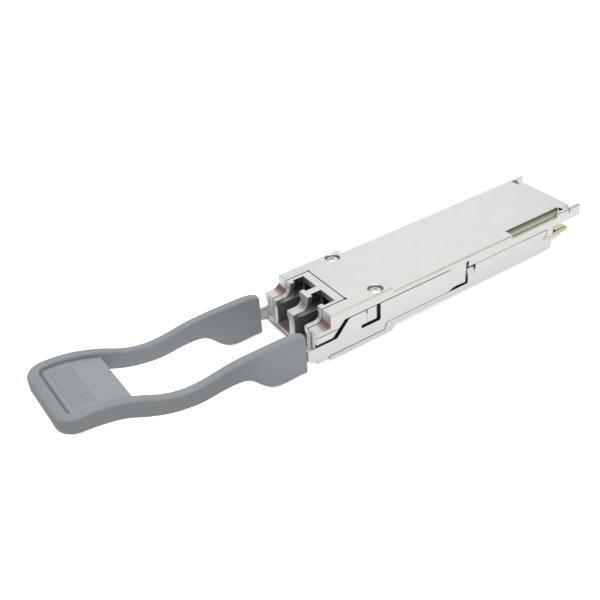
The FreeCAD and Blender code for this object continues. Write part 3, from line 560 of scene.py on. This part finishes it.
# painted shade for the grip's outer sides and painted light for its plate
GRIP_SIDE_SHADE = (0.235, 0.246, 0.252)
GRIP_PLATE_PAINTED_LIGHT = (0.372, 0.397, 0.408)
GRIP_SHADE = (0.13, 0.135, 0.155)
MASK_DARK = (0.035, 0.075, 0.085)
MASK_LIGHT = (0.05, 0.10, 0.105)
TRACK_GREEN = (0.09, 0.15, 0.13)
VIA_GOLD = (0.42, 0.36, 0.20)
BARE_EDGE = (0.60, 0.58, 0.34)
LAMINATE = (0.80, 0.84, 0.54)
COPPER_LAYER = (0.62, 0.50, 0.26)
FILM_AMBER = (0.42, 0.19, 0.04)
FILM_TRACK = (0.68, 0.36, 0.13)
PAPER_DARK = (0.83, 0.83, 0.81)
PAPER_LIGHT = (0.89, 0.89, 0.87)
PAPER_BORDER = (0.70, 0.70, 0.68)
STEEL_SHADE = (0.2, 0.19, 0.18)
SCREW_BRIGHT = (0.93, 0.92, 0.90)
SCREW_SHADE = (0.12, 0.11, 0.11)
GLASS_CORE = (0.08, 0.09, 0.11)


def scaled(color, factor):
    return tuple(min(1.0, c * factor) for c in color)


def grip_plastic():
    """Grey moulding with spark-eroded texture; painted shade darkens the sides towards the grip, painted
    light makes its plate a little lighter, and painted shade lies in crevices and as a shadow at the foot of
    the plate's front rim.
    """
    s = Shader("grip_grey")
    grain = s.cells(5.5)
    color = s.mix(s.spread(s.noise(0.12, 3.0)), GRIP_DARK, GRIP_LIGHT)
    upright = s.span(s.size_of(s.facing_z), 0.2, 0.7, 0.85, 0.0)
    outward = s.span(s.times(s.x, s.facing_x), -3.0, -1.0, 0.0, 1.0)
    arm_middle, block_front = -38.0, -27.0
    # painted shade on the outer sides
    outer_side_shade = s.all_of(upright, outward, s.span(s.y, arm_middle, block_front, 1.0, 0.0))
    color = s.mix(outer_side_shade, color, GRIP_SIDE_SHADE)
    # painted light on the plate
    plate = s.all_of(s.region(y=(PLATE_FRONT, PLATE_REAR)), s.until(s.across, PLATE_HALF),
                     s.span(s.facing_z, 0.4, 0.7, 0.0, 1.0))
    color = s.mix(s.times(plate, 0.7), color, GRIP_PLATE_PAINTED_LIGHT)
    shade = s.without(s.span(s.crevice_shade(0.5), 0.4, 1.0, 0.0, 0.5), s.times(plate, 0.8))
    foot_low, foot_high = 11.4, 11.95
    # painted shadow at the foot of the plate's front rim
    foot = s.region(y=(PLATE_FRONT, PLATE_FRONT + 0.8, 0.25), z=(foot_low, foot_high))
    rim_foot_shadow = s.all_of(plate, foot, 0.8)
    color = s.mix(s.any_of(shade, rim_foot_shadow), color, GRIP_SHADE)
    s.relief(grain, 0.010)
    return s.finish(color, s.span(grain, 0.0, 0.6, 0.48, 0.60), 0.0)


def solder_mask():
    """Glossy mask over copper: tracks towards the contacts, vias, and pale laminate at the cut edge."""
    s = Shader("board_green")
    flat = s.span(s.size_of(s.facing_z), 0.6, 0.9, 0.0, 1.0)
    contact_pitch, track_width, layer_pitch, layer_thick = 0.8, 0.34, 0.25, 0.05
    bare_from = contacts_low.y - 0.15
    tracks = s.all_of(s.stripes(s.x, contact_pitch, track_width),
                      s.region(y=(bare_from - 4.3, bare_from + 0.3)))
    weave = s.noise(1.4, 2.0)
    vias = s.until(s.cells(0.75), 0.10, 0.03)
    mask = s.mix(s.span(weave, 0.4, 0.6, 0.0, 1.0), MASK_DARK, MASK_LIGHT)
    mask = s.mix(tracks, mask, TRACK_GREEN)
    mask = s.mix(s.times(vias, 0.8), mask, VIA_GOLD)
    mask = s.mix(s.past(s.y, bare_from), mask, BARE_EDGE)
    laminate = s.mix(s.stripes(s.z, layer_pitch, layer_thick), LAMINATE, COPPER_LAYER)
    s.relief(s.plus(s.times(tracks, flat), s.times(weave, 0.3)), 0.015)
    return s.finish(s.mix(flat, laminate, mask), s.span(flat, 0.0, 1.0, 0.75, 0.22), 0.0)


def gold(name, color, rough):
    """Hard gold with fine wipe marks along the direction of insertion."""
    s = Shader(name)
    wipe = s.noise(11.0, 2.0, (1.0, 0.07, 1.0))
    s.relief(wipe, 0.003, 0.03)
    return s.finish(s.mix(s.spread(wipe), color, scaled(color, 1.12)),
                    s.span(wipe, 0.2, 0.8, rough, rough + 0.12), 1.0)


def turned_steel(name, color, lines_across=True):
    """Machined steel: tool lines round the part, or rolled lines along it."""
    s = Shader(name)
    stretch = (0.05, 1.0, 0.05) if lines_across else (1.0, 0.05, 1.0)
    lines = s.noise(14.0, 2.0, stretch)
    tint = s.mix(s.spread(lines), scaled(color, 0.9), color)
    tint = s.mix(s.span(s.crevice_shade(0.5), 0.3, 1.0, 0.0, 0.5), tint, STEEL_SHADE)
    s.relief(lines, 0.004, 0.05)
    return s.finish(tint, s.span(lines, 0.2, 0.8, 0.22, 0.36), 1.0)


def screw_metal():
    """Bright plated screw head with lathe rings and painted shade in its recess."""
    s = Shader("screw_nickel")
    radius = s.distance(s.minus(s.across, SCREW_X), s.minus(s.y, SCREW_Y))
    radians_per_mm = 70.0
    rings = s.math("SINE", s.times(radius, radians_per_mm))
    color = s.mix(s.span(s.crevice_shade(0.3), 0.5, 0.95, 0.0, 0.8), SCREW_BRIGHT, SCREW_SHADE)
    s.relief(rings, 0.001, 0.06)
    return s.finish(color, s.span(rings, -1.0, 1.0, 0.16, 0.24), 1.0)


def ceramic(name, color, core=False):
    """Polished or fired ceramic; with a core, the fibre stubs show a dark glass centre."""
    s = Shader(name)
    grain = s.noise(6.0, 3.0)
    tint = s.mix(s.spread(grain), color, scaled(color, 0.94))
    if core:
        low, high = box_mm("receiver_fibre_stub")
        centre, core_r = (low + high) / 2, 0.058
        radius = s.distance(s.minus(s.across, centre.x), s.minus(s.z, centre.z))
        tint = s.mix(s.until(radius, core_r, 0.01), tint, GLASS_CORE)
    s.relief(grain, 0.002, 0.03)
    return s.finish(tint, s.span(grain, 0.2, 0.8, 0.12, 0.24), 0.0, Subsurface_Weight=0.15,
                    Subsurface_Scale=0.4 * MM)


def flex_film():
    """Amber film with copper tracks along it."""
    s = Shader("flex_amber")
    track_pitch, track_width, track_offset = 0.42, 0.2, 0.1
    tracks = s.stripes(s.x, track_pitch, track_width, track_offset)
    ripple = s.noise(1.1, 2.0)
    s.relief(s.plus(tracks, s.times(ripple, 0.5)), 0.012, 0.03)
    return s.finish(s.mix(tracks, FILM_AMBER, FILM_TRACK), s.span(ripple, 0.3, 0.7, 0.18, 0.32), 0.0)


def mottled(name, color, rough, per_mm, depth, spread=0.12, edge=0.05, metallic=0.0):
    """Moulded, sintered or cast bodies: speckled colour and a fine grain."""
    s = Shader(name)
    grain = s.noise(per_mm, 4.0)
    s.relief(grain, depth, edge)
    return s.finish(s.mix(s.spread(grain), scaled(color, 1 - spread), scaled(color, 1 + spread)),
                    s.span(grain, 0.2, 0.8, rough - 0.05, rough + 0.08), metallic)


def blank_paper():
    """Unprinted label: paper fibres and a faint die-cut border."""
    s = Shader("label_white")
    low, high = box_mm("blank_label")
    border, soft = 0.4, 0.05
    fibres = s.noise(4.0, 5.0, (1.0, 0.35, 1.0))
    inner = s.region(x=(low.x + border, high.x - border, soft), y=(low.y + border, high.y - border, soft))
    s.relief(fibres, 0.006)
    return s.finish(s.mix(inner, PAPER_BORDER, s.mix(s.spread(fibres), PAPER_DARK, PAPER_LIGHT)), 0.62, 0.0)


finishes = {
    "cast_nickel": cast_nickel("cast_nickel"),
    "port_nickel": cast_nickel("port_nickel", port_marks),
    "screw_nickel": screw_metal(),
    "sheet_nickel": sheet_nickel(),
    "grip_grey": grip_plastic(),
    "board_green": solder_mask(),
    "contact_gold": gold("contact_gold", (0.86, 0.74, 0.42), 0.2),
    "barrel_steel": turned_steel("barrel_steel", (0.66, 0.65, 0.63)),
    "package_gold": gold("package_gold", (0.84, 0.66, 0.32), 0.24),
    "lid_steel": turned_steel("lid_steel", (0.72, 0.71, 0.68), False),
    "zirconia": ceramic("zirconia", (0.90, 0.89, 0.85), core=True),
    "alumina": ceramic("alumina", (0.80, 0.78, 0.74)),
    "flex_amber": flex_film(),
    "chip_black": mottled("chip_black", (0.022, 0.022, 0.025), 0.48, 7.0, 0.006),
    "capacitor_tan": mottled("capacitor_tan", (0.40, 0.28, 0.18), 0.5, 9.0, 0.004),
    "resistor_black": mottled("resistor_black", (0.03, 0.03, 0.03), 0.3, 9.0, 0.003),
    "inductor_grey": mottled("inductor_grey", (0.13, 0.13, 0.135), 0.6, 8.0, 0.01, 0.25),
    "crystal_can": turned_steel("crystal_can", (0.74, 0.73, 0.70), False),
    "thermal_pad": mottled("thermal_pad", (0.36, 0.45, 0.53), 0.75, 5.0, 0.012),
    "gasket_grey": mottled("gasket_grey", (0.10, 0.10, 0.105), 0.7, 8.0, 0.01),
    "label_white": blank_paper(),
    "shield_steel": turned_steel("shield_steel", (0.62, 0.62, 0.61), False),
    "clamp_steel": turned_steel("clamp_steel", (0.58, 0.58, 0.57)),
    "spring_steel": turned_steel("spring_steel", (0.58, 0.58, 0.59)),
}
cover_nickel = cast_nickel("cover_nickel", cover_marks)
tinned = mottled("solder", (0.66, 0.66, 0.64), 0.3, 6.0, 0.01, metallic=1.0)
mark_white = mottled("chip_mark", (0.55, 0.55, 0.53), 0.6, 9.0, 0.002)

slot_of = {part["node"]: part["material_slot"] for part in frame["record"]["subparts"]}
for name, shape in nodes.items():
    shape.data.materials.clear()
    shape.data.materials.append(cover_nickel if name == "top_cover" else finishes[slot_of[name]])


# ---- added pieces, in metres --------------------------------------------------------------

def new_piece(name, mesh_builder, material):
    """A mesh piece filled by mesh_builder, in metres in the row frame."""
    mesh = bpy.data.meshes.new(name)
    build = bmesh.new()
    mesh_builder(build)
    build.to_mesh(mesh)
    build.free()
    mesh.materials.append(material)
    piece = bpy.data.objects.new(name, mesh)
    bpy.context.scene.collection.objects.link(piece)
    return piece


def add_block(build, low, high):
    low, high = Vector(low), Vector(high)
    place = Matrix.Translation((low + high) / 2) @ Matrix.Diagonal((*(high - low), 1.0))
    bmesh.ops.create_cube(build, size=1.0, matrix=place)


def islands(node):
    """Low and high corners of each separate solid in a node, read from the node's own mesh."""
    build = bmesh.new()
    build.from_mesh(nodes[node].data)
    bmesh.ops.remove_doubles(build, verts=build.verts, dist=0.001 * MM)
    unseen = set(build.verts)
    found = []
    while unseen:
        group, to_visit = set(), [unseen.pop()]
        while to_visit:
            vert = to_visit.pop()
            group.add(vert)
            for edge in vert.link_edges:
                other = edge.other_vert(vert)
                if other in unseen:
                    unseen.remove(other)
                    to_visit.append(other)
        corners = [vert.co for vert in group]
        found.append((Vector(min(c[i] for c in corners) for i in range(3)),
                      Vector(max(c[i] for c in corners) for i in range(3))))
    build.free()
    return sorted(found, key=lambda pair: tuple(pair[0]))


def end_caps(node, share):
    """Tinned terminals over both ends of every two-terminal part in a node."""
    proud = 0.015 * MM

    def fill(build):
        for low, high in islands(node):
            reach = (high.y - low.y) * share
            for start, end in ((low.y - proud, low.y + reach), (high.y - reach, high.y + proud)):
                add_block(build, (low.x - proud, start, low.z), (high.x + proud, end, high.z + proud))
    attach(new_piece(node + "_terminals", fill, tinned), "housing")


def chip_leads(node):
    """A row of flat leads out of each side of a chip, on the board."""
    low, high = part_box(node)
    pitch, width, thick, reach, root = 0.5 * MM, 0.24 * MM, 0.12 * MM, 0.3 * MM, 0.02 * MM

    def fill(build):
        for axis in (0, 1):
            other = 1 - axis
            count = int((high[other] - low[other] - pitch) / pitch)
            middle = (high[other] + low[other]) / 2
            for i in range(count):
                at = middle + (i - (count - 1) / 2) * pitch
                for start, end in ((low[axis] - reach, low[axis] + root),
                                   (high[axis] - root, high[axis] + reach)):
                    a, b = [0, 0, low[2]], [0, 0, low[2] + thick]
                    a[axis], b[axis] = start, end
                    a[other], b[other] = at - width / 2, at + width / 2
                    add_block(build, a, b)
    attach(new_piece(node + "_leads", fill, tinned), "housing")


def corner_dot(node):
    """Orientation dot in one corner of a chip's top."""
    low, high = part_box(node)
    inset, dot_r, proud = 0.5 * MM, 0.17 * MM, 0.004 * MM

    def fill(build):
        place = Matrix.Translation((low[0] + inset, high[1] - inset, high[2] + proud))
        bmesh.ops.create_circle(build, cap_ends=True, radius=dot_r, segments=24, matrix=place)
    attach(new_piece(node + "_dot", fill, mark_white), "housing")


def return_spring(side, hand):
    """Round-wire coil in the place of a spring's CAD node, which it hides."""
    node = side + "_return_spring"
    low, high = (Vector(corner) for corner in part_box(node))
    centre_x, centre_z = (low.x + high.x) / 2, (low.z + high.z) / 2
    wire_r, turns, steps, sides = 0.11 * MM, 8, 48, 12
    coil_r = (high.x - low.x) / 2 - wire_r
    start, end = low.y + wire_r, high.y - wire_r

    def fill(build):
        rings = []
        for i in range(turns * steps + 1):
            turn = i / steps * math.tau * hand
            along = start + (end - start) * i / (turns * steps)
            out = Vector((math.cos(turn), 0, math.sin(turn)))
            middle = Vector((centre_x, along, centre_z)) + out * coil_r
            ring = []
            for k in range(sides):
                angle = k / sides * math.tau
                offset = out * (wire_r * math.cos(angle)) + Vector((0, wire_r * math.sin(angle), 0))
                ring.append(build.verts.new(middle + offset))
            rings.append(ring)
        for first, second in zip(rings, rings[1:]):
            for k in range(sides):
                following = (k + 1) % sides
                face = build.faces.new((first[k], first[following], second[following], second[k]))
                face.smooth = True
        build.faces.new(rings[0])
        build.faces.new(rings[-1])
        bmesh.ops.recalc_face_normals(build, faces=build.faces)
    piece = new_piece(side + "_spring_coil", fill, finishes["spring_steel"])
    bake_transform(piece)
    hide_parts(node)


for node, share in (("upper_capacitors", 0.24), ("chip_resistors", 0.22), ("power_inductors", 0.16)):
    end_caps(node, share)
for node in ("laser_driver_chip", "receiver_chip", "microcontroller", "power_converter"):
    chip_leads(node)
for node in ("microcontroller", "power_converter"):
    corner_dot(node)
return_spring("left", -1)
return_spring("right", 1)


# ---- floor, light and camera --------------------------------------------------------------

def area_light(name, place, target, width, height, watts, color=(1.0, 1.0, 1.0)):
    light = bpy.data.lights.new(name, "AREA")
    light.shape = "RECTANGLE"
    light.size = width
    light.size_y = height
    light.energy = watts
    light.color = color
    lamp = bpy.data.objects.new(name, light)
    lamp.location = place
    lamp.rotation_euler = (Vector(target) - Vector(place)).to_track_quat("-Z", "Y").to_euler()
    bpy.context.scene.collection.objects.link(lamp)


def make_floor(level):
    """Pale floor that glows white to the camera, and less brightly to the module that reflects it."""
    half_size, glow_in_reflections, glow_to_camera = 30.0, 0.10, 0.62
    mesh = bpy.data.meshes.new("floor")
    build = bmesh.new()
    place = Matrix.Translation((0, 0, level))
    bmesh.ops.create_grid(build, x_segments=1, y_segments=1, size=half_size, matrix=place)
    build.to_mesh(mesh)
    build.free()
    s = Shader("floor_white")
    s.relief(s.noise(0.05, 2.0), 0.01)
    seen = s.add("ShaderNodeLightPath").outputs["Is Camera Ray"]
    glow = s.span(seen, 0.0, 1.0, glow_in_reflections, glow_to_camera)
    mesh.materials.append(s.finish((0.93, 0.93, 0.93), 0.9, 0.0, Emission_Color=(1.0, 1.0, 1.0),
                                   Emission_Strength=glow))
    floor = bpy.data.objects.new("floor", mesh)
    bpy.context.scene.collection.objects.link(floor)


def make_world(strength):
    """Soft sky, brighter upwards, for light and reflections, and plain white to the camera."""
    world = bpy.data.worlds.new("studio")
    world.use_nodes = True
    bpy.context.scene.world = world
    tree = world.node_tree
    coords = tree.nodes.new("ShaderNodeTexCoord")
    split = tree.nodes.new("ShaderNodeSeparateXYZ")
    ramp = tree.nodes.new("ShaderNodeValToRGB")
    seen = tree.nodes.new("ShaderNodeLightPath")
    choose = tree.nodes.new("ShaderNodeMixShader")
    plain = tree.nodes.new("ShaderNodeBackground")
    sky = tree.nodes["Background"]
    low, high = ramp.color_ramp.elements
    low.position, low.color = 0.0, (0.55, 0.55, 0.56, 1.0)
    high.position, high.color = 0.6, (1.0, 1.0, 1.0, 1.0)
    sky.inputs["Strength"].default_value = strength
    plain.inputs["Color"].default_value = (1.0, 1.0, 1.0, 1.0)
    for source, target in (
            (coords.outputs["Generated"], split.inputs[0]), (split.outputs["Z"], ramp.inputs[0]),
            (ramp.outputs["Color"], sky.inputs["Color"]), (seen.outputs["Is Camera Ray"], choose.inputs[0]),
            (sky.outputs[0], choose.inputs[1]), (plain.outputs[0], choose.inputs[2]),
            (choose.outputs[0], tree.nodes["World Output"].inputs["Surface"])):
        tree.links.new(source, target)


def make_camera(place, azimuth, elevation, roll, lens):
    """Camera looking along +Y at azimuth 0, downwards by the elevation, then rolled about its own axis."""
    data = bpy.data.cameras.new("camera")
    data.lens = lens
    data.sensor_width = 36.0
    data.clip_start = 0.005
    data.clip_end = 10.0
    camera = bpy.data.objects.new("camera", data)
    bpy.context.scene.collection.objects.link(camera)
    level = math.cos(elevation)
    back = Vector((math.sin(azimuth) * level, -math.cos(azimuth) * level, math.sin(elevation)))
    right = Vector((math.cos(azimuth), math.sin(azimuth), 0.0))
    up = back.cross(right)
    rolled_right = math.cos(roll) * right + math.sin(roll) * up
    rolled_up = math.cos(roll) * up - math.sin(roll) * right
    turn = Matrix((rolled_right, rolled_up, back)).transposed().to_4x4()
    camera.matrix_world = Matrix.Translation(place) @ turn
    bpy.context.scene.camera = camera


make_floor(size_at_load[0][2] - 0.02 * MM)

lit_point = (0.0, -0.005, 0.004)
area_light("top_softbox", (0.05, 0.05, 0.55), lit_point, 0.7, 0.7, 2.0)
area_light("front_softbox", (0.55, -0.30, 0.22), lit_point, 0.35, 0.30, 0.09, (1.0, 0.985, 0.96))
area_light("rear_softbox", (-0.45, 0.40, 0.35), lit_point, 0.4, 0.3, 0.24, (0.96, 0.98, 1.0))
make_world(strength=0.52)
make_camera(Vector((117.407, -90.512, 108.318)) * MM, math.radians(57.666), math.radians(35.644),
            math.radians(-3.828), lens=51.5)
bpy.context.scene.view_settings.view_transform = "Standard"
